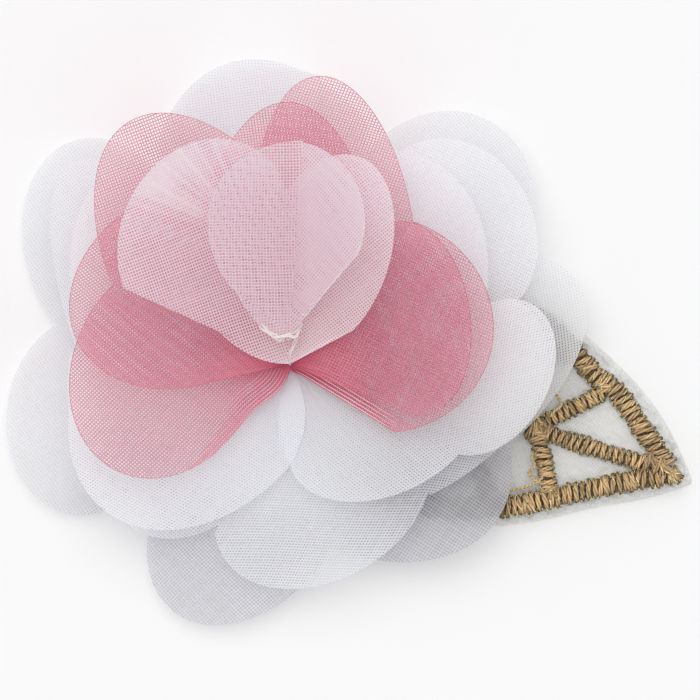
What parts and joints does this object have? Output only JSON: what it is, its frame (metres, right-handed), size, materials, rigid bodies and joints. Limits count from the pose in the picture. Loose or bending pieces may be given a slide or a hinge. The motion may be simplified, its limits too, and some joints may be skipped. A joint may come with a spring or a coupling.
{
  "type": "fabric flower rosette",
  "caption": "Gathered sheer organza flower rosette with an embroidered organza leaf, sewn on through its middle as a decoration.",
  "frame": {"origin": "the point of the sewing face where the gathering stitch meets the surface that the flower lies on", "axes": "+Z out of the flower's face, +X to the right of the picture on the leaf's side, +Y towards the inner cup"},
  "size_m": [0.0686, 0.0567, 0.0225],
  "materials": {
    "white_organza": "sheer",
    "rose_organza": "sheer",
    "blush_organza": "sheer",
    "ivory_organza": "sheer",
    "bronze_thread": "satin metallic",
    "white_thread": "matte"
  },
  "bodies": {
    "root": {"leaf": "ivory_organza", "rail_upper": "bronze_thread", "rail_lower": "bronze_thread", "midrib": "bronze_thread", "vein_upper_root": "bronze_thread", "vein_upper_middle": "bronze_thread", "vein_upper_tip": "bronze_thread", "vein_lower_root": "bronze_thread", "vein_lower_middle": "bronze_thread", "vein_lower_tip": "bronze_thread", "petals_white_lower": "white_organza", "petals_white_middle": "white_organza", "petals_white_upper": "white_organza", "petals_pink_lower": "rose_organza", "petals_pink_upper": "rose_organza", "petals_pale": "blush_organza", "petal_cup": "blush_organza", "centre_stitch": "white_thread"}
  },
  "joints": []
}
